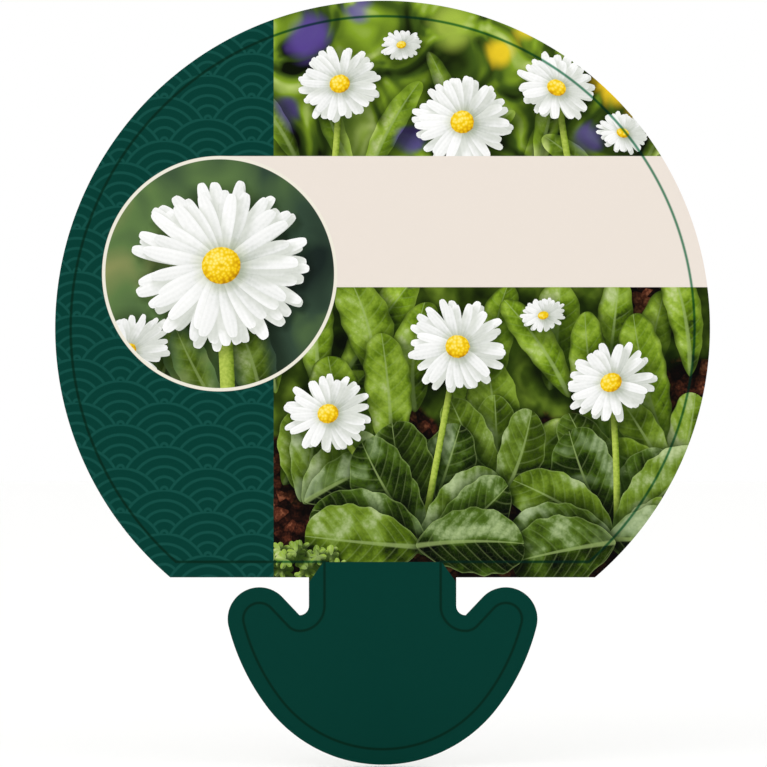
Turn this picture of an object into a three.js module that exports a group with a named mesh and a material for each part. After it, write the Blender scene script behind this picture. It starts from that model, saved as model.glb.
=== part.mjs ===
// Plant label for a pot: one flat die-cut plastic sheet with a round head, a short neck
// and an anchor-shaped foot that clips into a slot in the pot's rim.
// Millimetres, +Z up. The printed front looks towards -Y, and +X is to the right of it.
// The origin lies in the middle of the sheet, where the neck meets the head's straight
// lower edge. That edge rests on the rim, and the foot hangs below it.

import * as THREE from "three";

// Sheet
const sheetThickness = 0.5;

// Head: a circle cut off by a straight lower edge
const headRadius = 42;
const headCentreHeight = 31.97; // above the straight edge

// Neck, and the rounded bottoms of the notches at its sides
const neckWidth = 18.9;
const notchDepth = 4.86; // below the straight edge
const notchRadius = 1.2;

// Foot: two round barbs, joined below by flatter sides and a round tip
const barbRadius = 4.07;
const barbOut = 15.8; // from the middle line to a barb's centre
const barbDrop = 5.34; // from the straight edge down to a barb's centre
const sideRadius = 28.7;
const tipRadius = 18.5;
const tipDrop = 24.03; // from the straight edge down to the tip

// How far a chord may lie inside its arc
const chordError = 0.008;

// Points on an arc, both ends included. Angles are in radians, and the end may be
// smaller than the start, for an arc that runs clockwise.
function arcPoints(centre, radius, start, end) {
  const widestStep = 2 * Math.acos(1 - chordError / radius);
  const steps = Math.ceil(Math.abs(end - start) / widestStep);
  return Array.from({ length: steps + 1 }, (unused, i) => {
    const angle = start + ((end - start) * i) / steps;
    return new THREE.Vector2(
      centre.x + radius * Math.cos(angle),
      centre.y + radius * Math.sin(angle),
    );
  });
}

// Direction from one point to another, as an angle
function directionTo(from, to) {
  return Math.atan2(to.y - from.y, to.x - from.x);
}

// Centre of a circle that lies nearer to the middle line than a barb does, at given
// distances from the barb's centre and from the tip's centre
function sideCentre(barbCentre, fromBarb, tipCentre, fromTip) {
  const apart = barbCentre.distanceTo(tipCentre);
  const along = (fromBarb ** 2 - fromTip ** 2 + apart ** 2) / (2 * apart);
  const across = Math.sqrt(fromBarb ** 2 - along ** 2);
  const toTip = directionTo(barbCentre, tipCentre);
  const toSide = toTip - Math.atan2(across, along);
  return new THREE.Vector2(
    barbCentre.x + fromBarb * Math.cos(toSide),
    barbCentre.y + fromBarb * Math.sin(toSide),
  );
}

// The right half of the foot's outline, from the straight edge down to the tip. Here y
// is the height on the sheet.
function rightFoot() {
  const neckSide = neckWidth / 2;
  const notchCentre = new THREE.Vector2(neckSide + notchRadius, notchRadius - notchDepth);
  const notchCorner = new THREE.Vector2(notchCentre.x, -notchDepth);
  const barbCentre = new THREE.Vector2(barbOut, -barbDrop);
  const tipCentre = new THREE.Vector2(0, tipRadius - tipDrop);
  const flankCentre = sideCentre(
    barbCentre,
    sideRadius - barbRadius,
    tipCentre,
    sideRadius - tipRadius,
  );

  // The notch's slope leaves its corner and touches the barb's upper side.
  const slope =
    directionTo(notchCorner, barbCentre) +
    Math.asin(barbRadius / notchCorner.distanceTo(barbCentre));
  const barbTop = slope + Math.PI / 2;
  const barbToFlank = directionTo(flankCentre, barbCentre);
  const flankToTip = directionTo(flankCentre, tipCentre);
  const straightDown = -Math.PI / 2;

  return [
    new THREE.Vector2(neckSide, 0),
    ...arcPoints(notchCentre, notchRadius, Math.PI, 1.5 * Math.PI),
    ...arcPoints(barbCentre, barbRadius, barbTop, barbToFlank),
    ...arcPoints(flankCentre, sideRadius, barbToFlank, flankToTip).slice(1),
    ...arcPoints(tipCentre, tipRadius, flankToTip, straightDown).slice(1),
  ];
}

// The whole outline, clockwise from the right end of the straight edge
function sheetOutline() {
  const headCentre = new THREE.Vector2(0, headCentreHeight);
  const belowLevel = Math.asin(headCentreHeight / headRadius);
  const head = arcPoints(headCentre, headRadius, Math.PI + belowLevel, -belowLevel);
  const right = rightFoot();
  const left = right
    .slice(0, -1)
    .reverse()
    .map((point) => new THREE.Vector2(-point.x, point.y));
  return new THREE.Shape([...head, ...right, ...left]);
}

// The outline is extruded along its own z, then turned so that its height points up and
// its first face looks towards -Y.
const sheetGeometry = new THREE.ExtrudeGeometry(sheetOutline(), {
  depth: sheetThickness,
  bevelEnabled: false,
});
sheetGeometry.translate(0, 0, -sheetThickness / 2);
sheetGeometry.rotateX(Math.PI / 2);

const printedPlastic = new THREE.MeshStandardMaterial({
  color: 0x004238,
  roughness: 0.45,
  metalness: 0,
});

const labelSheet = new THREE.Mesh(sheetGeometry, printedPlastic);
labelSheet.name = "label_sheet";

const plantLabel = new THREE.Group();
plantLabel.add(labelSheet);

export default plantLabel;
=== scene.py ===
import math
import random

import bmesh
import bpy
import numpy as np
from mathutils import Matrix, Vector
from mathutils.geometry import delaunay_2d_cdt


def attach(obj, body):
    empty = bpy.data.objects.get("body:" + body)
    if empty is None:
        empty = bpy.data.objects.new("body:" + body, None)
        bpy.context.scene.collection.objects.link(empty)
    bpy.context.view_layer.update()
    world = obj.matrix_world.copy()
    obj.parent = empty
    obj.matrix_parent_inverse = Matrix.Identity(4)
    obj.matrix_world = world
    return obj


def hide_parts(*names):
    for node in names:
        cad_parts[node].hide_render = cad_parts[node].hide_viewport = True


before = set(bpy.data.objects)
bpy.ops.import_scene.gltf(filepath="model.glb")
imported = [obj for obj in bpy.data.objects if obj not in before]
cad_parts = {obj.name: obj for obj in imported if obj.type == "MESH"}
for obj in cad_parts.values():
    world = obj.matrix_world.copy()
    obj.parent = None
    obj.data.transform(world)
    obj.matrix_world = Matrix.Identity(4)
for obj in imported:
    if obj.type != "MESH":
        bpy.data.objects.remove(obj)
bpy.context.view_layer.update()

# A die-cut plant label for a pot: one thin plastic sheet with a printed front. Sizes are millimetres
# until a mesh is made, x runs to the right of the front and z upwards, as in the frame.
mm = 0.001


# Shader maths

# Makes an operator of a wire: it adds one Math node, and a reflected one takes the wire as last value.
def adds(operation, reflected=False):
    def sumOf(*values):
        order = reversed(values) if reflected else values
        return values[0].board.node("Math", {"operation": operation}, dict(enumerate(order)))

    return sumOf


# A socket that does sums, in its own tree
class Wire:
    def __init__(self, board, socket):
        self.board = board
        self.socket = socket

    __add__, __radd__ = adds("ADD"), adds("ADD", reflected=True)
    __sub__, __rsub__ = adds("SUBTRACT"), adds("SUBTRACT", reflected=True)
    __mul__, __rmul__ = adds("MULTIPLY"), adds("MULTIPLY", reflected=True)
    __truediv__, __rtruediv__ = adds("DIVIDE"), adds("DIVIDE", reflected=True)
    __pow__ = adds("POWER")
    __abs__ = adds("ABSOLUTE")
    sin = adds("SINE")
    cos = adds("COSINE")
    root = adds("SQRT")
    floor = adds("FLOOR")
    fract = adds("FRACT")
    modulo = adds("FLOORED_MODULO")
    above = adds("GREATER_THAN")
    least = adds("MINIMUM")
    most = adds("MAXIMUM")

    def __neg__(self):
        return self * -1.0

    # 0 at low, 1 at high, and a straight or a soft slope between them
    def rise(self, low, high, soft=False):
        settings = {"interpolation_type": "SMOOTHSTEP" if soft else "LINEAR", "clamp": True}
        return self.board.node("MapRange", settings, {"Value": self, "From Min": low, "From Max": high})

    # 1 below an edge and 0 above it
    def below(self, edge, soft):
        return self.rise(edge + soft, edge - soft)


# A node tree, and what adds nodes to it
class Board:
    def __init__(self, tree):
        self.tree = tree

    # Adds a node, with its settings first and then its sockets' values or wires, and gives back the wire
    # of one output, or of each in a tuple. A ramp's stops are a list of colours.
    def node(self, kind, settings=None, sockets=None, out=0):
        added = self.tree.nodes.new("ShaderNode" + kind)
        for name, value in (settings or {}).items():
            if name == "stops":
                self.spread(added.color_ramp.elements, value)
            else:
                setattr(added, name, value)
        for key, value in (sockets or {}).items():
            socket = self.find(added.inputs, key)
            if isinstance(value, Wire):
                self.tree.links.new(value.socket, socket)
            else:
                socket.default_value = value
        if isinstance(out, tuple):
            return [Wire(self, self.find(added.outputs, name)) for name in out]
        return Wire(self, self.find(added.outputs, out))

    def find(self, sockets, key):
        if isinstance(key, int):
            return sockets[key]
        return next(s for s in sockets if key in (s.identifier, s.name) and s.enabled)

    # Colours, evenly spaced from 0 to 1
    def spread(self, stops, colours):
        while len(stops) < len(colours):
            stops.new(0.5)  # moved below
        for i, colour in enumerate(colours):
            stops[i].position = i / (len(colours) - 1)
            stops[i].color = ink(*colour)

    def scale(self, colours, value):
        return self.node("ValToRGB", {"stops": colours}, {"Fac": value}, "Color")

    # A look's scale of colours, by its light: the weighed sum of named parts
    def shaded(self, look, **parts):
        return self.scale(look["colours"], weighed(look["light"], **parts))

    def blend(self, under, over, share, how="MIX"):
        settings = {"data_type": "RGBA", "blend_type": how, "clamp_factor": True}
        values = {"Factor": share, "A_Color": under, "B_Color": over}
        return self.node("Mix", settings, values, "Result_Color")

    # One number where share is 0, another where it is 1
    def choose(self, first, second, share):
        values = {"Factor": share, "A_Float": first, "B_Float": second}
        return self.node("Mix", {"data_type": "FLOAT", "clamp_factor": True}, values, "Result_Float")

    # A place on the flat sheet, for the textures
    def spot(self, x, z):
        return self.node("CombineXYZ", None, {"X": x, "Y": z}, "Vector")

    def noise(self, spot, scale, detail, bend=0.0):
        values = {"Vector": spot, "Scale": scale, "Detail": detail, "Distortion": bend}
        return self.node("TexNoise", {"noise_dimensions": "2D"}, values, "Fac")

    def cells(self, spot, scale, out="Distance", feature="F1"):
        settings = {"feature": feature, "voronoi_dimensions": "2D"}
        return self.node("TexVoronoi", settings, {"Vector": spot, "Scale": scale}, out)


# A printed colour, from its red, green and blue out of 255, as the renderer counts it
def ink(red, green, blue):
    def straight(level):
        share = level / 255
        return share / 12.92 if share <= 0.04045 else ((share + 0.055) / 1.055) ** 2.4

    return (straight(red), straight(green), straight(blue), 1.0)


# A sum of named parts, each times its weight, on top of the weight named base, if there is one
def weighed(weights, **parts):
    total = weights.get("base", 0.0)
    for name, part in parts.items():
        total = total + part * weights[name]
    return total


# How far the place x, z is from a point
def awayFrom(x, z, point):
    right, up = x - point[0], z - point[1]
    return (right * right + up * up).root()


# The cut shape

sheetCut = {  # as the frame has it
    "thickness": 0.5,
    "headRadius": 42.0, "headCentre": 31.97,
    "neckHalf": 9.45, "notchDepth": 4.86, "notchRadius": 1.2,
    "barbRadius": 4.07, "barbOut": 15.8, "barbDrop": 5.34,
    "flankRadius": 28.7, "tipRadius": 18.5, "tipDrop": 24.03,
    "footPole": -20.0,  # height from which all of the foot's outline can be seen
    "pointStep": 0.28,
    "frontRound": 0.09,  # the die rolls the front edge over
    "backRound": 0.04, "roundSteps": 4,
    "rimFlat": 0.5,  # a narrow flat ring behind, along the edge
    "backShares": (0.33, 0.66, 1.0),  # rings of the back face, on their way to the middle line
    "weld": 0.0001,  # points this close become one
    "sharpFrom": 40,  # degrees
}


# Points on an arc from one angle to another: centre + radius * (cos, sin), both ends included
def arc(centre, radius, start, end):
    count = max(3, math.ceil(abs(end - start) * radius / sheetCut["pointStep"]))
    angle = np.linspace(start, end, count + 1)[:, None]
    return np.asarray(centre) + radius * np.hstack([np.cos(angle), np.sin(angle)])


# Points on a straight line: start * (1 - share) + end * share
def line(start, end):
    length = math.dist(start, end)
    share = np.linspace(0, 1, max(2, math.ceil(length / sheetCut["pointStep"])) + 1)[:, None]
    return np.asarray(start) * (1 - share) + np.asarray(end) * share


def heading(start, end):
    return math.atan2(end[1] - start[1], end[0] - start[0])


# The outline's arcs on the right half: centre, radius, and the directions of the two ends from the centre.
# The flank's circle holds the barb's and the tip's and touches both, and a slope runs from the notch to
# the barb's circle and touches it.
def cutArcs():
    c = sheetCut
    below = math.asin(c["headCentre"] / c["headRadius"])
    notch = (c["neckHalf"] + c["notchRadius"], c["notchRadius"] - c["notchDepth"])
    corner = (notch[0], -c["notchDepth"])
    barb = (c["barbOut"], -c["barbDrop"])
    tip = (0, c["tipRadius"] - c["tipDrop"])
    apart = math.dist(barb, tip)
    fromBarb = c["flankRadius"] - c["barbRadius"]
    fromTip = c["flankRadius"] - c["tipRadius"]
    along = (fromBarb ** 2 - fromTip ** 2 + apart ** 2) / (2 * apart)
    toFlank = heading(barb, tip) - math.acos(along / fromBarb)
    flank = (barb[0] + fromBarb * math.cos(toFlank), barb[1] + fromBarb * math.sin(toFlank))
    slope = heading(corner, barb) + math.asin(c["barbRadius"] / math.dist(corner, barb))
    toBarb, toTip = heading(flank, barb), heading(flank, tip)
    return {
        "head": ((0, c["headCentre"]), c["headRadius"], math.pi + below, -below),
        "notch": (notch, c["notchRadius"], math.pi, 1.5 * math.pi),
        "barb": (barb, c["barbRadius"], slope + math.pi / 2, toBarb),
        "flank": (flank, c["flankRadius"], toBarb, toTip),
        "tip": (tip, c["tipRadius"], toTip, -math.pi / 2),
    }


# The outline, clockwise from the left end of the head's straight edge, and for each of its points the
# height on the middle line that the back face is drawn together to: the head's centre, then down the
# neck, then the foot's pole.
def cutOutline():
    c = sheetCut
    head, notch, barb, flank, tip = (arc(*bow) for bow in cutArcs().values())
    edge = line(head[-1], (c["neckHalf"], 0))
    neck = line((c["neckHalf"], 0), notch[0])
    foot = np.vstack([notch[1:], line(notch[-1], barb[0])[1:-1], barb, flank[1:], tip[1:]])

    def drawnTo(points, first, last):
        return np.column_stack([points, np.linspace(first, last, len(points))])

    high, low = c["headCentre"], c["footPole"]
    neck = drawnTo(neck, high, low)
    half = np.vstack([drawnTo(edge, high, high)[1:], neck[1:], drawnTo(foot, low, low)])
    whole = np.vstack([drawnTo(head, high, high), half, half[:-1][::-1] * (-1, 1, 1)])
    return whole[:, :2], whole[:, 2]


# Direction into the sheet at each point, long enough to keep a ring parallel at a corner:
# (n1 + n2) / (1 + n1 . n2), for the normals of the two edges that meet there
def inwardOf(outline):
    ahead = np.roll(outline, -1, axis=0) - outline
    ahead /= np.linalg.norm(ahead, axis=1)[:, None]
    normal = np.stack([ahead[:, 1], -ahead[:, 0]], axis=1)
    before = np.roll(normal, 1, axis=0)
    return (normal + before) / (1 + (normal * before).sum(axis=1))[:, None]


# What the print shows

fields = {  # places on the print, mm
    "panelRight": -13.97,
    "bandLow": 37.22, "bandHigh": 54.03,
    "split": 45.0,  # behind the band, the upper picture's end and the lower one's
    "inset": (-20.89, 38.95),
    "insetRadius": 14.67, "ringRadius": 15.09, "ringMiddle": 14.88,
    "collarTop": 1.98,  # plain ink over the neck
    "collarHalf": 7.6, "collarSpread": 0.71,
    "collarLow": -0.8,  # all is plain from here down
    "overlap": 0.4,  # how far a picture runs on under its neighbours
    "rimGap": 0.25,  # from the cut edge to the pictures' lines
}
meadowField, gardenField, insetField = 0, 1, 2

# Every motif is a strip along an axis from its foot. Half its width at a share of its length is
# half * fit * along^rise * (1 - along)^fall, and fit makes its greatest value half. Its outline waves
# by 1 + ripple * sin(rippleTurn * along * length + rippleStart * lit), and lit says how its left side
# faces the light. Its middle bends to the left by bend * length * along^2. Its shadow fades out over its
# halo. A cast is only a shadow.
strips = {
    "leaf": {"kind": 1, "rise": 0.7, "fall": 0.45, "ripple": 0.04, "halo": 2.3, "shadow": 0.9},
    "petal": {"kind": 2, "rise": 0.55, "fall": 0.3, "ripple": 0.0, "halo": 0.75, "shadow": 0.5},
    "centre": {"kind": 3, "rise": 0.5, "fall": 0.5, "ripple": 0.0, "halo": 0.5, "shadow": 0.4},
    "stem": {"kind": 4, "rise": 0.03, "fall": 0.03, "ripple": 0.0, "halo": 0.9, "shadow": 0.6},
    "cast": {"kind": 5, "rise": 0.5, "fall": 0.5, "ripple": 0.0, "halo": 3.4, "shadow": 0.75},
}
plainMotif = {"bend": 0.0, "tone": 0.5, "sheen": 0.0, "dim": 0.0, "soft": 0.0}  # soft is an edge's, mm
rippleTurn = 2.3
rippleStart = 9.0
lightFrom = (-0.5, 0.86)  # in the picture
shadowShift = (0.4, -0.55)  # from a motif to its shadow, mm
haloMost = 1.5  # times a motif's half width


def fitOf(strip):
    total = strip["rise"] + strip["fall"]
    return (total / strip["rise"]) ** strip["rise"] * (total / strip["fall"]) ** strip["fall"]


# How flowers and leaves differ: ranges, or the most to either side. Lengths and widths are shares of
# what is asked for, and turns are degrees.
bloomLook = {
    "cast": 0.8,  # its shadow's size
    "fill": 2.15,  # a petal's width times their number, over the flower's radius
    "turn": 0.18,  # of the angle between two petals
    "length": (0.9, 1.04), "width": (0.88, 1.1), "bend": 0.12,
}
rosetteLook = {
    "upright": 40,  # leaves that lean less than this stand behind the stems
    "lean": 150,  # turn from upright at which a leaf comes wholly forward
    "longest": 1.1, "shorter": 0.35,  # what a leaf that comes forward loses in length
    "narrowest": 0.92, "wider": 0.2,
    "foot": (0.8, 0.6), "turn": 6, "length": (0.86, 1.1), "width": (0.86, 1.12), "bend": 0.22,
    "tone": 0.35, "sheen": (0.1, 0.9),
    "stemFoot": 0.6, "stemBend": 0.07,
}
rowLook = {
    "place": (0.1, 0.9), "turn": (52, 128), "length": (0.75, 1.1), "width": (0.75, 1.15), "bend": 0.28,
    "tone": 0.35, "sheen": (0.1, 0.6),
}
tuftLook = {"turn": 12, "length": (0.8, 1.15), "tone": (0.9, 1.6)}


# The motifs of one field, from back to front. Lengths are mm and angles degrees.
class Drawing:
    def __init__(self, field, seed):
        self.field = field
        self.pick = random.Random(seed).uniform
        self.motifs = []

    def swing(self, most):
        return self.pick(-most, most)

    def add(self, strip, foot, turn, length, half, **finish):
        right, up = math.cos(math.radians(turn)), math.sin(math.radians(turn))
        self.motifs.append({
            **strips[strip], **plainMotif, **finish, "name": strip, "fit": fitOf(strips[strip]),
            "field": self.field, "foot": np.array(foot), "axis": np.array((right, up)),
            "left": np.array((-up, right)), "length": length, "half": half,
            "lit": lightFrom[1] * right - lightFrom[0] * up,
        })

    def stem(self, foot, top, half=0.42, bend=0.05, **finish):
        turn = math.degrees(heading(foot, top)) - math.degrees(math.atan(bend))
        length = math.dist(foot, top) / math.hypot(1, bend)
        self.add("stem", foot, turn, length, half, bend=bend, **finish)

    # An ellipse about a centre, as long as 2 * size along lean
    def disc(self, strip, centre, size, lean, tilt, **finish):
        turn = math.radians(lean)
        foot = (centre[0] - size * math.cos(turn), centre[1] - size * math.sin(turn))
        self.add(strip, foot, lean, 2 * size, size * tilt, **finish)

    # Rings of petals round a centre, in a circle that is squeezed by tilt and turned by lean
    def bloom(self, centre, radius, petals, lean, tilt, rings=(1.0, 0.92), eye=0.24, **finish):
        look = bloomLook
        self.disc("cast", centre, radius * look["cast"], lean, tilt)
        for ring, reach in enumerate(rings):
            count = petals - ring
            start = self.pick(0, 2 * math.pi)
            for i in range(count):
                angle = start + (i + self.swing(look["turn"])) * 2 * math.pi / count
                wide, tall = math.cos(angle), math.sin(angle) * tilt
                size = math.hypot(wide, tall)
                turn = math.degrees(math.atan2(tall, wide)) + lean
                length = radius * reach * size * self.pick(*look["length"])
                half = radius * look["fill"] / petals * tilt / size * self.pick(*look["width"])
                bend = self.swing(look["bend"])
                self.add("petal", centre, turn, length, half, bend=bend, tone=self.pick(0, 1), **finish)
        self.disc("centre", centre, radius * eye, lean, tilt, **finish)

    def leaf(self, foot, turn, length, half, tone, look, **finish):
        length *= self.pick(*look["length"])
        half *= self.pick(*look["width"])
        bend = self.swing(look["bend"])
        tone += self.swing(look["tone"])
        sheen = self.pick(*look["sheen"])
        self.add("leaf", foot, turn, length, half, bend=bend, tone=tone, sheen=sheen, **finish)

    # Leaves from one foot: those that point up, then the stems between them, then those that come forward
    def rosette(self, foot, turns, length, half, tone, stems=(), **finish):
        look = rosetteLook

        def leaves(some):
            for turn in some:
                lean = abs(turn - 90) / look["lean"]
                place = [foot[i] + self.swing(look["foot"][i]) for i in (0, 1)]
                turn += self.swing(look["turn"])
                long = length * (look["longest"] - look["shorter"] * lean)
                wide = half * (look["narrowest"] + look["wider"] * lean)
                self.leaf(place, turn, long, wide, tone, look, **finish)

        turns = sorted(turns, key=lambda turn: abs(turn - 90))
        upright = [turn for turn in turns if abs(turn - 90) < look["upright"]]
        leaves(upright)
        for top in stems:
            low = (foot[0] + self.swing(look["stemFoot"]), foot[1])
            self.stem(low, top, bend=self.swing(look["stemBend"]), **finish)
        leaves(turns[len(upright):])

    # Small leaves that spread from one place
    def tuft(self, centre, count, length, half):
        look = tuftLook
        start = self.pick(0, 360)
        for i in range(count):
            turn = start + 360 * i / count + self.swing(look["turn"])
            long = length * self.pick(*look["length"])
            self.add("leaf", centre, turn, long, half, tone=self.pick(*look["tone"]))

    # Leaves that grow up side by side, from feet between two sides and two heights
    def row(self, count, sides, heights, length, half, tone, **finish):
        look = rowLook
        gap = (sides[1] - sides[0]) / count
        for i in range(count):
            foot = (sides[0] + (i + self.pick(*look["place"])) * gap, self.pick(*heights))
            self.leaf(foot, self.pick(*look["turn"]), length, half, tone, look, **finish)


# The upper field: a blurred meadow, with daisies in front
def drawMeadow():
    draw = Drawing(meadowField, seed=5)
    draw.row(9, (-14, 36), (49, 54), length=14, half=1.6, tone=0.9, dim=0.15, soft=1.2)
    draw.bloom((2.4, 68.3), radius=2.7, petals=17, lean=10, tilt=0.75, dim=0.06)
    draw.bloom((30.8, 57.0), radius=3.5, petals=17, lean=-20, tilt=0.72, dim=0.03)
    draw.stem((-6.5, 50), (-5.5, 63.5))
    draw.stem((24.5, 50), (22.5, 62.5), bend=-0.06)
    draw.stem((10, 50), (10.3, 58))
    draw.bloom((-5.5, 63.3), radius=5.6, petals=19, lean=14, tilt=0.88)
    draw.bloom((22.3, 62.8), radius=5.3, petals=18, lean=-24, tilt=0.8)
    draw.bloom((10.2, 58.4), radius=6.4, petals=21, lean=4, tilt=0.96)
    return draw.motifs


# The lower field: leaves over dark soil, tufts in the lower left corner, and daisies in front
def drawGarden():
    draw = Drawing(gardenField, seed=12)
    far = {"tone": 1.0, "soft": 0.7}
    near = {"tone": 0.9, "dim": 0.12, "soft": 0.5}
    draw.row(5, (-16, 8), (19, 26), length=17, half=2.9, **far)
    draw.row(6, (12, 42), (20, 26), length=16, half=2.9, **far)
    draw.bloom((20.6, 33.6), radius=3.0, petals=17, lean=12, tilt=0.74, dim=0.04)
    draw.row(4, (-16, 3), (10, 16), length=17, half=3.2, **near)
    draw.row(3, (8, 19), (11, 16), length=16, half=3.2, **near)
    draw.row(3, (26, 37), (9, 16), length=17, half=3.4, **near)
    draw.rosette((37.0, 12), (72, 112, 140), length=12, half=2.8, tone=0.5, dim=0.08, soft=0.15)
    draw.rosette((15, 9.5), (62, 88, 116, 140), length=13, half=3.3, tone=0.4, dim=0.08)
    draw.rosette((-10, 9.5), (70, 100, 30, 52), length=12, half=3.2, tone=0.4, dim=0.06)
    draw.rosette(
        (29.5, 4.5), (96, 70, 122, 48, 146, 166, 26, 184, 2),
        length=15, half=4.1, tone=0.15, stems=((29.3, 25),),
    )
    draw.rosette(
        (5.0, 3.5), (74, 106, 132, 154, 44, 24, 174, 4),
        length=15, half=4.3, tone=0.12, stems=((9.6, 29.5), (-7, 20.5)),
    )
    for _ in range(34):
        centre = (draw.pick(-14, -5.5), draw.pick(0.2, 3.8))
        draw.tuft(centre, 6, length=1.25, half=0.34)
    draw.bloom((-7.0, 21.0), radius=5.8, petals=20, lean=16, tilt=0.9)
    draw.bloom((29.3, 25.0), radius=6.0, petals=19, lean=26, tilt=0.84)
    draw.bloom((9.6, 29.6), radius=6.5, petals=21, lean=-6, tilt=0.95)
    return draw.motifs


# The round field: one daisy close up, and part of another behind it
def drawInset():
    draw = Drawing(insetField, seed=31)
    draw.row(4, (-30, -12), (20, 24), length=15, half=2.8, tone=0.5, dim=0.3, soft=1.8)
    draw.bloom((-33.0, 28.8), radius=6.6, petals=20, lean=35, tilt=0.66, dim=0.05)
    draw.stem((-19.8, 21), (-20.8, 37), half=0.95)
    draw.bloom(
        (-20.7, 40.0), radius=11.4, petals=26, lean=8, tilt=0.95, rings=(1.0, 0.97, 0.86), eye=0.22,
    )
    return draw.motifs


# Where places are on a motif: the share of its length, and the distance to the left of its axis
def placesOn(motif, places):
    away = places - motif["foot"]
    return away @ motif["axis"] / motif["length"], away @ motif["left"]


# Half a motif's width, and how far its bent middle is to the left, at shares of its length
def widthAt(motif, along):
    width = motif["half"] * motif["fit"] * along ** motif["rise"] * (1 - along) ** motif["fall"]
    turn = rippleTurn * along * motif["length"] + rippleStart * motif["lit"]
    width *= 1 + motif["ripple"] * np.sin(turn)
    return width, motif["bend"] * motif["length"] * along ** 2


# How far inside a motif's outline places are
def insideMotif(motif, places):
    along, across = placesOn(motif, places)
    held = np.clip(along, 0, 1)
    width, middle = widthAt(motif, held)
    return width - abs(across - middle) - abs(along - held) * motif["length"]


cutLook = {  # how finely the front is cut along the print's lines, mm
    "step": 0.5, "leastSteps": 7,
    "covered": 0.05,  # a line that lies this deep under another motif is left out
    "rimGap": 0.16, "rimPoints": 300,
    "looseGap": 0.85, "looseRows": 100, "looseCorner": (-40.0, 0.2),
    "looseRise": 0.87,  # of the gap, from row to row
    "same": 0.00001,
}


# A motif's closed outline: along = (1 - cos(turn)) / 2, so that the points are close at its ends
def outlineOf(motif):
    count = max(cutLook["leastSteps"], math.ceil(motif["length"] / cutLook["step"]))
    along = (1 - np.cos(np.linspace(0, math.pi, count + 1))) / 2
    width, middle = widthAt(motif, along)
    along = np.concatenate([along, along[-2:0:-1]])[:, None]
    across = np.concatenate([middle + width, (middle - width)[-2:0:-1]])[:, None]
    return motif["foot"] + along * motif["length"] * motif["axis"] + across * motif["left"]


def fieldOf(places):
    inInset = np.hypot(*(places - fields["inset"]).T) < fields["ringMiddle"]
    upper = places[:, 1] > fields["split"]
    return np.where(inInset, insetField, np.where(upper, meadowField, gardenField))


# Whether places in a field show, or nearly
def shows(places, field):
    home = fieldOf(places)
    if field == insetField:
        return home == insetField
    x, z = places.T
    gap, spare = fields["rimGap"], fields["overlap"]
    inHead = (np.hypot(x, z - sheetCut["headCentre"]) < sheetCut["headRadius"] - gap) & (z > gap)
    inHead &= (x > fields["panelRight"] - spare) & (home != insetField)
    if field == meadowField:
        return inHead & (z > fields["bandHigh"] - spare)
    return inHead & (z < fields["bandLow"] + spare)


# What shows of the motifs' outlines, as the starts and ends of short lines
def motifLines(motifs):
    drawn = [(layer, motif) for layer, motif in enumerate(motifs) if motif["name"] != "cast"]
    starts, ends, layers = [], [], []
    for layer, motif in drawn:
        outline = outlineOf(motif)
        following = np.roll(outline, -1, axis=0)
        seen = shows((outline + following) / 2, motif["field"])
        starts.append(outline[seen])
        ends.append(following[seen])
        layers.append(np.full(seen.sum(), layer))
    starts, ends, layers = np.vstack(starts), np.vstack(ends), np.concatenate(layers)
    home = fieldOf((starts + ends) / 2)
    hidden = np.zeros(len(home), bool)
    for layer, motif in drawn:
        under = np.flatnonzero((layers < layer) & (home == motif["field"]) & ~hidden)
        depth = insideMotif(motif, starts[under]).clip(max=insideMotif(motif, ends[under]))
        hidden[under[depth > cutLook["covered"]]] = True
    return starts[~hidden], ends[~hidden]


# Pulls the lines' points in from the cut's rim: a line that touches it would open the seam there
def heldIn(points):
    centre = (0, sheetCut["headCentre"])
    away = points - centre
    share = (sheetCut["headRadius"] - cutLook["rimGap"]) / np.hypot(*away.T)
    points = centre + away * share.clip(max=1)[:, None]
    return np.maximum(points, (-np.inf, cutLook["rimGap"]))


# The points and edges that the front face is cut along: the motifs' lines, the round field's rim, and
# loose points in between, in a triangular grid, that carry the shading
def printLines(motifs):
    look = cutLook
    points = heldIn(np.stack(motifLines(motifs), axis=1).reshape(-1, 2))
    edges = np.arange(len(points)).reshape(-1, 2)

    turn = np.linspace(0, 2 * math.pi, look["rimPoints"], endpoint=False)
    rim = np.array(fields["inset"]) + fields["ringMiddle"] * np.stack([np.cos(turn), np.sin(turn)], 1)
    edges = np.vstack([edges, loopEdges(len(rim)) + len(points)])

    row, column = np.indices((look["looseRows"],) * 2).reshape(2, -1)
    loose = np.stack([column + row % 2 / 2, row * look["looseRise"]], 1) * look["looseGap"]
    loose += look["looseCorner"]
    kept = shows(loose, insetField) | shows(loose, gardenField) | shows(loose, meadowField)
    return np.vstack([points, rim, loose[kept]]), edges


def loopEdges(count):
    number = np.arange(count)
    return np.stack([number, np.roll(number, -1)], 1)


# The front face: triangles between the cut's inner rim and the print's lines. A triangle outside the rim
# comes from no face, and is dropped.
def frontFace(rim, motifs):
    points, edges = printLines(motifs)
    points = np.vstack([rim, points])
    edges = np.vstack([loopEdges(len(rim)), edges + len(rim)])
    border = [list(range(len(rim)))[::-1]]
    corners, _, triangles, _, _, sources = delaunay_2d_cdt(
        [Vector(point) for point in points.tolist()], edges.tolist(), border, 0, cutLook["same"], True,
    )
    kept = [triangle for triangle, source in zip(triangles, sources) if source]
    return np.array(corners), np.array(kept)


sheetMap = {  # where the sheet's faces lie on its flat map: corners and sizes, as shares of the map
    "front": (0.003, 0.994),
    "back": ((0.875, 0.02), 0.12),
    "side": (0.84, 0.18),
    "sideSteps": (0.006, 0.8),  # from one column to the next, and all round the outline
}


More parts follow.
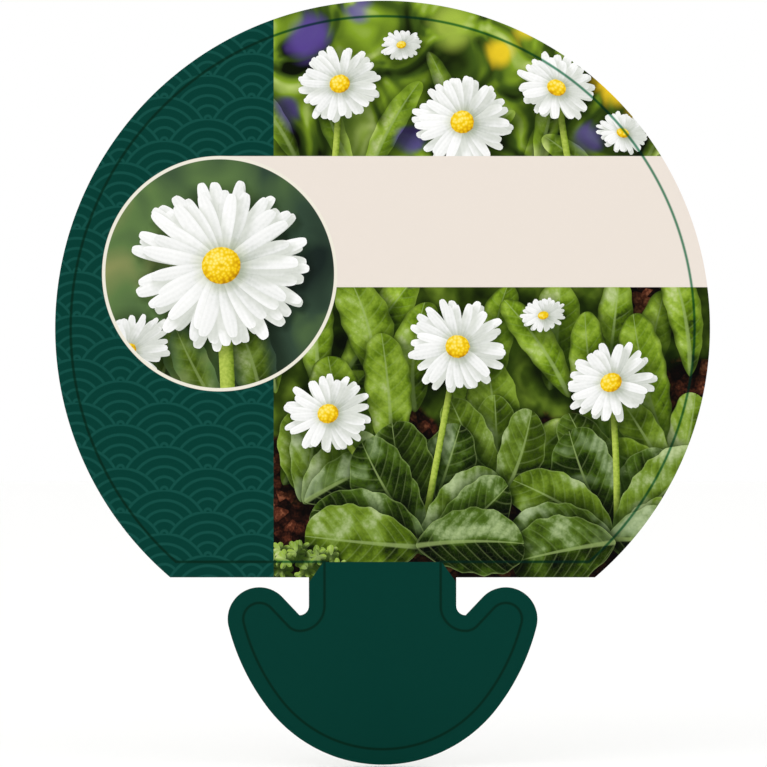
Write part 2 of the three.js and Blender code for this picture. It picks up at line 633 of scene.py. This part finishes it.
# A grid whose rows close into a ring: the row, the column and the point of each quad's corners
def gridQuads(rows, columns):
    row, column = np.indices((rows, columns - 1)).reshape(2, -1, 1)
    row, column = row + [0, 0, 1, 1], column + [0, 1, 1, 0]
    return row, column, row % rows * columns + column


# The section through the sheet's edge, as ways inwards and depths: the rounded front edge, the back edge
# and a narrow rim behind. A rounding is radius * (1 - sin(turn), 1 - cos(turn)).
def edgeSection():
    c = sheetCut
    half = c["thickness"] / 2
    turn = np.linspace(0, math.pi / 2, c["roundSteps"] + 1)
    rounding = np.stack([1 - np.sin(turn), 1 - np.cos(turn)], axis=1)
    front = rounding * c["frontRound"] - (0, half)
    back = rounding * (c["backRound"], -c["backRound"]) + (0, half)
    return np.vstack([front, back[::-1], [c["rimFlat"], half]])


# The sheet. Its front is cut along the print's lines. The rest is one grid: along it run the outline's
# points, and across it the edge's section and the back face, drawn together to the middle line:
# point = outline + inward * inset, and (1 - share) * ring + share * pole.
def dieCutSheet(name, motifs, materials):
    c, m = sheetCut, sheetMap
    outline, poles = cutOutline()
    half = c["thickness"] / 2
    section = edgeSection()
    shares = np.array(c["backShares"])[:, None]
    middle = np.stack([np.zeros(len(poles)), poles], 1)[:, None]
    ring = outline[:, None] + inwardOf(outline)[:, None] * section[:, :1]
    flat = np.concatenate([ring, ring[:, -1:] * (1 - shares) + middle * shares], axis=1)
    rows, columns = flat.shape[:2]
    depth = np.concatenate([section[:, 1], np.full(len(shares), half)])
    depth = np.broadcast_to(depth, (rows, columns))
    points = np.stack([flat[..., 0], depth, flat[..., 1]], axis=-1).reshape(-1, 3)
    cornerRow, cornerColumn, quads = gridQuads(rows, columns)

    face, triangles = frontFace(flat[:, 0], motifs)
    facePoints = np.stack([face[:, 0], np.full(len(face), -half), face[:, 1]], axis=1)
    everyPoint = (np.vstack([points, facePoints]) * mm).tolist()
    mesh = bpy.data.meshes.new(name)
    mesh.from_pydata(everyPoint, [], quads.tolist() + (triangles + len(points)).tolist())
    column = cornerColumn[:, 0]
    onFront = column < c["roundSteps"]
    finish = np.where(onFront, 0, np.where(column > 2 * c["roundSteps"], 1, 2))
    finish = np.concatenate([finish, np.zeros(len(triangles), int)])
    mesh.polygons.foreach_set("material_index", finish)

    low = outline.min(axis=0)
    size = (outline.max(axis=0) - low).max()

    def mapped(places, corner, share):
        return corner + (places - low) / size * share

    places = points[:, (0, 2)][quads]
    steps = np.stack([cornerColumn, cornerRow / rows], axis=-1) * m["sideSteps"]
    onBack = (column >= len(section) - 1)[:, None, None]
    gridMap = np.where(onBack, mapped(places, *m["back"]), m["side"] + steps)
    gridMap = np.where(onFront[:, None, None], mapped(places, *m["front"]), gridMap)
    places = [gridMap.reshape(-1, 2), mapped(face[triangles], *m["front"]).reshape(-1, 2)]
    places = np.vstack(places).astype(np.float32)
    mesh.uv_layers.new(name="OFBake").data.foreach_set("uv", places.ravel())
    layPrint(mesh, motifs, finish == 0)

    merged = bmesh.new()
    merged.from_mesh(mesh)
    bmesh.ops.remove_doubles(merged, verts=merged.verts, dist=c["weld"] * mm)
    bmesh.ops.recalc_face_normals(merged, faces=merged.faces)
    merged.to_mesh(mesh)
    merged.free()
    for material in materials:
        mesh.materials.append(material)
    mesh.polygons.foreach_set("use_smooth", np.ones(len(mesh.polygons), bool))
    mesh.set_sharp_from_angle(angle=math.radians(c["sharpFrom"]))
    return addToScene(name, mesh)


def addToScene(name, data):
    placed = bpy.data.objects.new(name, data)
    bpy.context.scene.collection.objects.link(placed)
    return placed


cornerLayers = {  # what each corner of the print carries
    "motifPlace": ("along", "across", "kind"),
    "motifShape": ("length", "half", "bend"),
    "motifTone": ("tone", "sheen", "dim"),
    "motifLight": ("shade", "soft", "lit"),
}


def readAll(items, name, width=1, kind=int):
    values = np.empty(len(items) * width, kind)
    items.foreach_get(name, values)
    return values


# Writes to each corner of the inked faces which motif is on top there, where on it the corner is, and
# how much the motifs over it shade it: 1 - product of (1 - shadow * halo), but a bloom's petals don't
# add up.
def layPrint(mesh, motifs, inked):
    corner = readAll(mesh.loops, "vertex_index")
    total = readAll(mesh.polygons, "loop_total")
    start = readAll(mesh.polygons, "loop_start")
    places = readAll(mesh.vertices, "co", 3, float).reshape(-1, 3)[corner][:, (0, 2)] / mm
    centres = np.add.reduceat(places, start, axis=0) / total[:, None]
    face = np.repeat(np.arange(len(total)), total)
    home = np.where(inked, fieldOf(centres), -1)

    top = np.full(len(total), -1)
    for layer, motif in enumerate(motifs):
        if motif["name"] != "cast":
            near = np.flatnonzero(home == motif["field"])
            top[near[insideMotif(motif, centres[near]) > 0]] = layer

    values = {name: np.zeros(len(corner)) for names in cornerLayers.values() for name in names}
    shade = values["shade"]
    for layer, motif in enumerate(motifs):
        near = np.flatnonzero((home[face] == motif["field"]) & (top[face] < layer))
        inside = insideMotif(motif, places[near] - shadowShift)
        halo = np.clip(inside / min(motif["halo"], haloMost * motif["half"]) + 1, 0, 1)
        halo = halo * halo * (3 - 2 * halo) * motif["shadow"] * (1 - motif["dim"])
        if motif["name"] == "petal":
            shade[near] = np.maximum(shade[near], halo)
        else:
            shade[near] = 1 - (1 - shade[near]) * (1 - halo)

    for layer, motif in enumerate(motifs):
        on = np.flatnonzero(top[face] == layer)
        values["along"][on], values["across"][on] = placesOn(motif, places[on])
        for name in values.keys() & motif.keys():
            values[name][on] = motif[name]
    for layer, names in cornerLayers.items():
        vectors = np.stack([values[name] for name in names], axis=1).astype(np.float32)
        mesh.attributes.new(layer, "FLOAT_VECTOR", "CORNER").data.foreach_set("vector", vectors.ravel())


# Inks. What they know of a place on the print is in given, as wires: x and z in mm and the spot that both
# make, a slow and a fine noise, cloud and grain, and on a motif what its corners carry.

# The share of a motif's length, the distance from its bent middle, and its half width there, as widthAt
# has them
def widthOf(strip, given):
    along = given["along"].rise(0.0, 1.0)
    shape = (along ** strip["rise"]) * ((1 - along) ** strip["fall"])
    if strip["ripple"]:
        turn = along * given["length"] * rippleTurn + given["lit"] * rippleStart
        shape = shape * (turn.sin() * strip["ripple"] + 1)
    bent = given["across"] - given["bend"] * given["length"] * along * along
    return along, bent, given["half"] * fitOf(strip) * shape


leafLook = {
    "deep": [(0, 6, 0), (22, 40, 0), (74, 102, 24), (164, 184, 126)],
    "fresh": [(30, 50, 0), (106, 138, 20), (158, 188, 60), (214, 224, 160)],
    "light": {
        "base": 0.4, "side": 0.46, "swell": 0.09, "cloud": 0.48, "grain": 0.12, "margin": 0.1,
        "foot": -0.3, "net": 0.06,
    },
    "slack": 0.3,  # added to the half width, mm
    "fold": (-0.14, 0.14),  # one side's light turns into the other's, in shares of the half width
    "footShare": (0.35, 0.0),
    "veinGap": 1.5,
    "veinLean": (0.56, 0.4),  # at the rib, and what the margin adds
    "veinEdge": (0.11, 0.02),  # shares of the gap where a vein starts and is full
    "veinReach": (1.0, 0.7),
    "rib": (0.05, 0.34),  # half its width at the tip, and what the foot adds
    "ribEdge": (1.1, 0.5),
    "rim": (0.22, 0.0),
    "netScale": 1.5, "netCell": (0.0, 0.25), "netLine": (0.08, 0.0),
    "vein": ink(156, 178, 108), "sheen": ink(172, 188, 156),
    "strength": {"vein": 0.16, "net": 0.05, "rib": 0.55, "rim": 0.35, "sheen": 0.6},
    "shine": {"cloud": 0.75, "swell": 0.1, "side": 0.6},
    "shineEdge": (0.5, 0.95),
}


# A leaf: side veins lie where (along * length - lean * |across|) / veinGap is whole, and the blade swells
# between them. The half that faces the light is brighter.
def leafInk(board, given):
    look, strength = leafLook, leafLook["strength"]
    along, bent, width = widthOf(strips["leaf"], given)
    off, share = abs(bent), bent / (width + look["slack"])
    side = share.rise(*look["fold"]) - 0.5
    lean = abs(share) * look["veinLean"][1] + look["veinLean"][0]
    part = ((along * given["length"] - off * lean) / look["veinGap"]).fract()
    swell = (part * (2 * math.pi)).sin() * side
    vein = (0.5 - abs(part - 0.5)).rise(*look["veinEdge"]) * abs(share).rise(*look["veinReach"])
    rib = (off / ((1 - along) * look["rib"][1] + look["rib"][0])).rise(*look["ribEdge"])
    net = board.cells(given["spot"], look["netScale"], feature="DISTANCE_TO_EDGE")
    sideLight = side * given["lit"]
    light = weighed(
        look["light"], side=sideLight, swell=swell, cloud=given["cloud"] - 0.5, grain=given["grain"] - 0.5,
        margin=share * share, foot=along.rise(*look["footShare"]), net=net.rise(*look["netCell"]),
    )
    deep, fresh = board.scale(look["deep"], light), board.scale(look["fresh"], light)
    colour = board.blend(deep, fresh, given["tone"])
    shine = weighed(look["shine"], cloud=given["cloud"], swell=swell, side=sideLight)
    shine = shine.rise(*look["shineEdge"]) * given["sheen"]
    colour = board.blend(colour, look["sheen"], shine * strength["sheen"])
    lines = vein * strength["vein"] + net.rise(*look["netLine"]) * strength["net"]
    edge = width - off
    for share in (lines, rib * strength["rib"], edge.rise(*look["rim"]) * strength["rim"]):
        colour = board.blend(colour, look["vein"], share)
    return colour, edge


petalLook = {
    "colours": [(126, 138, 116), (202, 207, 200), (237, 238, 236), (253, 253, 252)],
    "light": {
        "base": 0.82, "tone": 0.26, "side": 0.16, "foot": -0.36, "grooves": 0.05, "grain": 0.12,
        "rim": -0.12,
    },
    "slack": 0.06,
    "footShade": (0.6, 0.15),
    "grooveTurn": 9.4,  # for the half width
    "base": ink(176, 186, 118), "baseShare": (0.42, 0.18), "baseStrength": 0.5,
}


# A petal: white, with two long grooves, darker where it leaves the centre
def petalInk(board, given):
    look = petalLook
    along, bent, width = widthOf(strips["petal"], given)
    share = bent / (width + look["slack"])
    colour = board.shaded(
        look, tone=given["tone"] - 0.5, side=share * given["lit"], foot=along.rise(*look["footShade"]),
        grooves=(share * look["grooveTurn"]).cos(), grain=given["grain"] - 0.5, rim=(share * share) ** 3.0,
    )
    base = along.rise(*look["baseShare"]) * look["baseStrength"]
    return board.blend(colour, look["base"], base), width - abs(bent)


centreLook = {
    "colours": [(140, 92, 4), (212, 160, 8), (246, 208, 26), (253, 238, 130)],
    "light": {"base": 0.62, "tall": 0.22, "wide": -0.1, "dome": -0.32, "floret": 0.34, "dimple": -0.16},
    "floretScale": 2.3, "floretEdge": (0.7, 0.1), "dimple": (0.3, 0.0),
}


# A flower's centre: a dome of small florets, lit from above
def centreInk(board, given):
    look = centreLook
    wide = given["along"] * 2 - 1
    tall = given["across"] / given["half"]
    out = (wide * wide + tall * tall).root()
    floret = board.cells(given["spot"], look["floretScale"]).rise(*look["floretEdge"])
    dimple = out.rise(*look["dimple"])
    colour = board.shaded(look, tall=tall, wide=wide, dome=out * out, floret=floret, dimple=dimple)
    return colour, (1 - out) * given["half"]


stemLook = {
    "colours": [(52, 70, 16), (126, 152, 44), (182, 200, 88), (118, 146, 42)],
    "light": {"base": 0.55, "side": 0.4, "grain": 0.2, "rim": -0.2, "top": -0.2},
    "topShare": (0.75, 1.0),  # shaded by its flower
}


# A stem, shaded across its width as a round rod
def stemInk(board, given):
    look = stemLook
    along, bent, width = widthOf(strips["stem"], given)
    share, top = bent / given["half"], along.rise(*look["topShare"])
    grain = given["grain"] - 0.5
    colour = board.shaded(look, side=share * given["lit"], grain=grain, rim=share ** 2.0, top=top)
    return colour, width - abs(bent)


groundLook = {
    "waveScale": 0.15,
    "meadow": [(6, 14, 0), (62, 86, 22), (128, 158, 38), (192, 210, 122)],
    "meadowWave": (0.33, 0.71),
    "dabEdge": (5.0, 0.3),  # how ragged, in mm, and the share of the radius where it starts
    "dabs": [  # flowers far behind: right, up, radius, colour and strength
        ((-9.5, 69.5), 3.4, ink(92, 70, 150), 0.85),
        ((-3.0, 72.5), 2.4, ink(108, 84, 168), 0.75),
        ((-12.5, 60.0), 2.6, ink(84, 64, 138), 0.75),
        ((3.5, 56.0), 2.4, ink(98, 78, 160), 0.6),
        ((15.5, 67.5), 2.6, ink(244, 208, 40), 0.85),
        ((18.5, 70.5), 2.2, ink(248, 214, 48), 0.85),
        ((30.0, 63.0), 3.0, ink(246, 206, 36), 0.85),
        ((33.0, 59.0), 2.2, ink(244, 200, 44), 0.7),
        ((9.0, 71.0), 3.6, ink(176, 200, 76), 0.7),
        ((26.0, 56.0), 2.6, ink(104, 84, 160), 0.55),
    ],
    "soil": {
        "colours": [(8, 3, 2), (34, 14, 8), (84, 42, 26), (146, 88, 62)],
        "light": {"base": -0.1, "tint": 0.9, "crumb": -0.5, "grain": 0.45},
    },
    "crumbScale": 0.7,
    "soilTop": (16.0, 9.0),  # heights where soil starts and is all
    "thicket": {
        "colours": [(18, 30, 2), (62, 84, 16), (118, 144, 44)],
        "light": {"cloud": 0.6, "wave": 0.5},
    },
    "thicketWave": (0.35, 0.65),
    "patchEdge": (6.0, 0.7),
    "patches": [  # bare soil further up: right, up and radius
        ((22.0, 15.0), 7.0), ((41.0, 22.0), 7.0), ((-14.0, 13.0), 6.0), ((3.0, 19.0), 4.0),
        ((34.0, 35.0), 5.0),
    ],
    "inset": {
        "colours": [(24, 36, 32), (50, 70, 54), (92, 120, 68), (134, 140, 86)],
        "light": {"side": 0.6, "wave": 0.45},
    },
    "insetScale": 0.11, "insetWave": (0.3, 0.7), "insetSides": (-8.0, -36.0),
}


# What lies behind the motifs: a blurred meadow above, soil below, and a dark blur in the round field
def groundInk(board, given, inInset, isOpen):
    look = groundLook
    x, z, spot = given["x"], given["z"], given["spot"]
    wave = board.noise(spot, look["waveScale"], detail=2.0, bend=0.7)

    # 1 in the middle of a ragged round patch, and 0 outside it
    def patch(middle, radius, ragged, core):
        far = awayFrom(x, z, middle) + (wave - 0.5) * ragged
        return far.rise(radius, radius * core, soft=True)

    meadow = board.scale(look["meadow"], wave.rise(*look["meadowWave"]))
    for middle, radius, colour, strength in look["dabs"]:
        meadow = board.blend(meadow, colour, patch(middle, radius, *look["dabEdge"]) * strength)

    crumb, tint = board.cells(spot, look["crumbScale"], ("Distance", "Color"))
    tint = board.node("SeparateColor", None, {"Color": tint}, "Red")
    soil = board.shaded(look["soil"], tint=tint, crumb=crumb, grain=given["grain"])
    calm = wave.rise(*look["thicketWave"])
    thicket = board.shaded(look["thicket"], cloud=given["cloud"], wave=calm)
    bare = z.rise(*look["soilTop"], soft=True)
    for middle, radius in look["patches"]:
        bare = bare.most(patch(middle, radius, *look["patchEdge"]))
    garden = board.blend(thicket, soil, bare * isOpen)

    blur = board.noise(spot, look["insetScale"], detail=1.5, bend=0.4).rise(*look["insetWave"])
    inset = board.shaded(look["inset"], side=x.rise(*look["insetSides"]), wave=blur)
    return board.blend(board.blend(garden, meadow, z.above(fields["split"])), inset, inInset)


scallopLook = {
    "radius": 5.6,
    "gap": 1.3,  # between the arcs of one scale
    "lineHalf": 0.175, "lineSoft": 0.05, "rimSoft": 0.03,
}


# The traditional scallop pattern: rows of discs half a radius apart, every other row moved by a radius,
# lower rows over higher ones, and in each disc arcs at equal gaps from its rim
def scallopLines(board, x, z):
    look = scallopLook
    radius, gap, half = look["radius"], look["gap"], look["lineHalf"]
    step = radius / 2
    base = (z / step).floor()
    result = None
    for under in (-1, 0, 1):
        row = base - under
        shift = row.modulo(2.0) * radius
        right = ((x - shift) / (2 * radius)).fract() * (2 * radius)
        out = awayFrom(right, z - row * step, (radius, 0))
        phase = ((radius - out) / gap + 0.5).fract()
        line = (abs(phase - 0.5) * gap).below(half, look["lineSoft"])
        covered = out.below(radius + half, look["rimSoft"])
        result = line if result is None else board.choose(result, line, covered)
    return result


# How far inside the cut edge a place is: the least distance to the outline's arcs and lines. Which of
# them counts follows from the side of the rays that bound each arc.
def fromCutEdge(board, x, z):
    c, arcs = sheetCut, cutArcs()
    x = abs(x)

    def within(name):
        centre, radius = arcs[name][:2]
        return radius - awayFrom(x, z, centre)

    # Positive to the left of a ray from a point, negative to its right
    def leftOf(point, angle):
        return (z - point[1]) * math.cos(angle) - (x - point[0]) * math.sin(angle)

    flank, _, toBarb, toTip = arcs["flank"]
    barb, _, barbStart, _ = arcs["barb"]
    outer = board.choose(within("tip"), within("flank"), leftOf(flank, toTip).above(0.0))
    onBarb = leftOf(flank, toBarb).above(0.0) * (1 - leftOf(barb, barbStart).above(0.0))
    outer = board.choose(outer, within("barb"), onBarb)

    neck = c["neckHalf"] - x
    middle = arcs["notch"][0]
    corner = (middle[0], -c["notchDepth"])
    notch = board.choose(-within("notch"), neck, z.above(middle[1]))
    along = leftOf(corner, barbStart + math.pi).above(0.0)
    slope = board.choose(awayFrom(x, z, corner), -leftOf(corner, barbStart - math.pi / 2), along)
    notch = board.choose(notch, slope, x.above(corner[0]))
    head = within("head").least(z.most(neck))
    return board.choose(outer.least(notch), head, z.above(0.0))


printLook = {
    "keyInset": 2.0, "keyHalf": 0.165, "keySoft": 0.08,
    "keyShare": (0.10, 0.28, 0.18, 1.0),  # the thin line darkens what is under it
    "keyColour": (0.0, 0.009, 0.006, 1.0),
    "soft": 0.03,
    "motifSoft": 0.05,  # least softness of a motif's edge, mm
    "green": ink(0, 56, 47), "panel": ink(0, 58, 49), "scallop": ink(15, 75, 66),
    "band": ink(233, 223, 213), "ring": ink(236, 231, 216),
    "haze": ink(22, 36, 12),
    "shadow": (0.09, 0.13, 0.06, 1.0), "petalShadow": (0.47, 0.52, 0.42, 1.0),
    "cloudScale": 0.26, "cloudRange": (0.3, 0.7),
    "grainScale": 2.6, "grainRange": (0.25, 0.75),
}


# The pictures: the ink of the motif that each face carries, over the ground, then its shading
def pictureInk(board, place, fromInset):
    look, soft = printLook, printLook["motifSoft"]
    given = dict(place)
    for layer, names in cornerLayers.items():
        vector = board.node("Attribute", {"attribute_name": layer}, None, "Vector")
        given.update(zip(names, board.node("SeparateXYZ", None, {"Vector": vector}, ("X", "Y", "Z"))))
    kind, softness = given["kind"], given["soft"]

    # 1 on the motifs from one kind to another
    def isKind(first, last):
        return kind.above(strips[first]["kind"] - 0.5) * (1 - kind.above(strips[last]["kind"] + 0.5))

    inInset = 1 - fromInset.above(fields["ringMiddle"])
    colour = groundInk(board, given, inInset, 1 - kind.above(0.5))
    for name, inkOf in (("leaf", leafInk), ("petal", petalInk), ("centre", centreInk), ("stem", stemInk)):
        painted, edge = inkOf(board, given)
        inside = (edge + softness.rise(soft, 0.0)).rise(0.0, softness.most(soft))
        painted = board.blend(painted, look["haze"], given["dim"])
        colour = board.blend(colour, painted, isKind(name, name) * inside)
    shadow = board.blend(look["shadow"], look["petalShadow"], isKind("petal", "centre"))
    return board.blend(colour, shadow, given["shade"], "MULTIPLY")


# All the print's colours, from back to front: which field a place belongs to follows from its distances
# to the fields' edges
def printColour(board, place):
    look, soft = printLook, printLook["soft"]
    x, z, spot = place["x"], place["z"], place["spot"]
    cloud = board.noise(spot, look["cloudScale"], detail=2.0).rise(*look["cloudRange"])
    grain = board.noise(spot, look["grainScale"], detail=3.0).rise(*look["grainRange"])
    fromInset = awayFrom(x, z, fields["inset"])
    pictures = pictureInk(board, {**place, "cloud": cloud, "grain": grain}, fromInset)
    panel = board.blend(look["panel"], look["scallop"], scallopLines(board, x, z))
    colour = board.blend(pictures, panel, x.below(fields["panelRight"], soft))

    middle = (fields["bandLow"] + fields["bandHigh"]) / 2
    band = abs(z - middle).below(fields["bandHigh"] - middle, soft) * x.above(fields["inset"][0])
    colour = board.blend(colour, look["band"], band)
    for radius, over in (("ringRadius", look["ring"]), ("insetRadius", pictures)):
        colour = board.blend(colour, over, fromInset.below(fields[radius], soft))

    slope = fields["collarHalf"] + (fields["collarTop"] - z) * fields["collarSpread"] - abs(x)
    collar = slope.least(fields["collarTop"] - z).most(fields["collarLow"] - z).rise(-soft, soft)
    colour = board.blend(colour, look["green"], collar)
    key = abs(fromCutEdge(board, x, z) - look["keyInset"]).below(look["keyHalf"], look["keySoft"])
    dark = board.blend(colour, look["keyShare"], 1.0, "MULTIPLY")
    dark = board.blend(dark, look["keyColour"], 1.0, "ADD")
    return board.blend(colour, dark, key)


# The finishes

# A new material, its board, and the place on the sheet: x and z in mm, and the spot that both make
def newFinish(name):
    material = bpy.data.materials.new(name)
    material.use_nodes = True
    material.node_tree.nodes.clear()
    board = Board(material.node_tree)
    point = board.node("TexCoord", None, None, "Object")
    x, z = (way / mm for way in board.node("SeparateXYZ", None, {"Vector": point}, ("X", "Z")))
    return material, board, {"x": x, "z": z, "spot": board.spot(x, z)}


def closeFinish(board, look, colour, uneven, height):
    bumps = {"Height": height, "Strength": look["bump"], "Distance": look["bumpDepth"] * mm}
    shader = board.node("BsdfPrincipled", None, {
        "Base Color": colour,
        "Roughness": weighed(look["roughness"], **uneven),
        "Specular IOR Level": look["gloss"],
        "Normal": board.node("Bump", None, bumps, "Normal"),
    }, "BSDF")
    board.node("OutputMaterial", None, {"Surface": shader}, ())


inkLook = {
    "fineScale": 0.9, "slowScale": 0.06,
    "roughness": {"base": 0.42, "slow": 0.12, "fine": 0.06},
    "gloss": 0.04, "bump": 0.25, "bumpDepth": 0.02,  # mm
}


# The printed front, a little uneven as ink lies on plastic
def printedInk():
    look = inkLook
    material, board, place = newFinish("printedInk")
    fine = board.noise(place["spot"], look["fineScale"], detail=2.0)
    slow = board.noise(place["spot"], look["slowScale"], detail=1.0)
    closeFinish(board, look, printColour(board, place), {"slow": slow, "fine": fine}, fine)
    return material


bareLook = {
    "back": [(217, 218, 214), (224, 225, 221), (229, 230, 226)],
    # the cut side: darker, partly a sheared edge's greyer look and partly painted shade
    "cut": [(188, 191, 187), (196, 199, 195), (203, 206, 202)],
    "streakWide": 2.6, "streakLong": 80.0, "mottle": 14.0, "grain": 0.4,  # mm
    "tone": {"streak": 0.3, "mottle": 0.35, "fine": 0.35},
    "toneRange": (0.36, 0.64),
    "roughness": {"base": 0.38, "streak": 0.1, "fine": 0.1},
    "height": {"fine": 1.0, "streak": 0.5},
    "gloss": 0.3, "bump": 0.35, "bumpDepth": 0.03,
}


# The back and the cut side: white plastic sheet, drawn out in faint streaks, a little mottled, and with
# the fine grain of its roller. The cut side is darker: partly a sheared edge's greyer look, and partly
# painted shade, so that the narrow side reads apart from the back as a light from one side would make it.
def barePlastic(name, colours):
    look = bareLook
    material, board, place = newFinish(name)
    drawn = board.spot(place["x"] / look["streakWide"], place["z"] / look["streakLong"])
    streak = board.noise(drawn, 1.0, detail=3.0)
    mottle = board.noise(place["spot"], 1 / look["mottle"], detail=2.0)
    fine = board.noise(place["spot"], 1 / look["grain"], detail=2.0)
    tone = weighed(look["tone"], streak=streak, mottle=mottle, fine=fine)
    colour = board.scale(colours, tone.rise(*look["toneRange"]))
    height = weighed(look["height"], fine=fine, streak=streak)
    closeFinish(board, look, colour, {"streak": streak, "fine": fine}, height)
    return material


motifs = drawMeadow() + drawGarden() + drawInset()
print("motifs on the print:", len(motifs))
finishes = [printedInk()]
# the cut side's material carries painted shade in its darker colours
for name, colours in (("barePlastic", "back"), ("shearedPlasticPaintedShade", "cut")):
    finishes.append(barePlastic(name, bareLook[colours]))
print("finishes:", ", ".join(finish.name for finish in finishes))
sheet = dieCutSheet("dieCutSheet", motifs, finishes)
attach(sheet, "root")
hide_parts("label_sheet")
print("the printed sheet is made")


# Studio

studioLook = {
    "floorGap": 0.2,  # below the foot's tip, mm
    "floorHalf": 1.6,  # metres
    "floorRings": 6, "floorTurns": 64,
    "floor": {"Base Color": ink(254, 254, 253), "Roughness": 0.9, "Specular IOR Level": 0.1},
    "sky": {"Color": (1.0, 1.0, 1.0, 1.0), "Strength": 1.0},
    "lights": {  # place and size in metres, and power in watts
        "key": ((-0.5, -0.7, 0.75), 0.5, 0.7),
        "fill": ((0.8, -0.6, 0.5), 0.6, 0.3),
    },
    "lens": 200.0, "sensor": 36.0, "clip": (0.01, 20.0),
    "pixels": 767,
    "pixelSize": 0.12824,  # mm on the label
    "lookAt": (0.118, 24.867),  # mm, x and z
}


# A pale floor, a disc of rings: point = ring * (cos, sin)
def paleFloor():
    look = studioLook
    ring = np.linspace(0, 1, look["floorRings"])[None, :] ** 2 * look["floorHalf"]
    turn = np.linspace(0, 2 * math.pi, look["floorTurns"], endpoint=False)[:, None]
    height = np.full((turn.size, ring.size), -(sheetCut["tipDrop"] + look["floorGap"]) * mm)
    points = np.stack([ring * np.cos(turn), ring * np.sin(turn), height], axis=-1)
    mesh = bpy.data.meshes.new("floor")
    mesh.from_pydata(points.reshape(-1, 3).tolist(), [], gridQuads(turn.size, ring.size)[2].tolist())
    material = bpy.data.materials.new("paleFloor")
    material.use_nodes = True
    for name, value in look["floor"].items():
        material.node_tree.nodes["Principled BSDF"].inputs[name].default_value = value
    mesh.materials.append(material)
    return addToScene("floor", mesh)


def softLight(name, place, size, power):
    data = bpy.data.lights.new(name, "AREA")
    data.size = size
    data.energy = power
    light = addToScene(name, data)
    light.location = place
    light.rotation_euler = (-Vector(place)).to_track_quat("-Z", "Y").to_euler()


def paleWorld():
    world = bpy.data.worlds.new("studio")
    world.use_nodes = True
    for name, value in studioLook["sky"].items():
        world.node_tree.nodes["Background"].inputs[name].default_value = value
    return world


# Square-on, at the distance from which the whole image is as wide as its pixels on the label
def squareCamera():
    look = studioLook
    data = bpy.data.cameras.new("camera")
    data.lens = look["lens"]
    data.sensor_width = look["sensor"]
    data.clip_start, data.clip_end = look["clip"]
    distance = look["pixels"] * look["pixelSize"] * look["lens"] / look["sensor"]
    camera = addToScene("camera", data)
    x, z = look["lookAt"]
    camera.location = Vector((x, -distance - sheetCut["thickness"] / 2, z)) * mm
    camera.rotation_euler = (math.pi / 2, 0, 0)
    return camera


paleFloor()
for name, (place, size, power) in studioLook["lights"].items():
    softLight(name, place, size, power)
scene = bpy.context.scene
scene.world = paleWorld()
scene.view_settings.view_transform = "Standard"
scene.camera = squareCamera()
print("the studio is made")
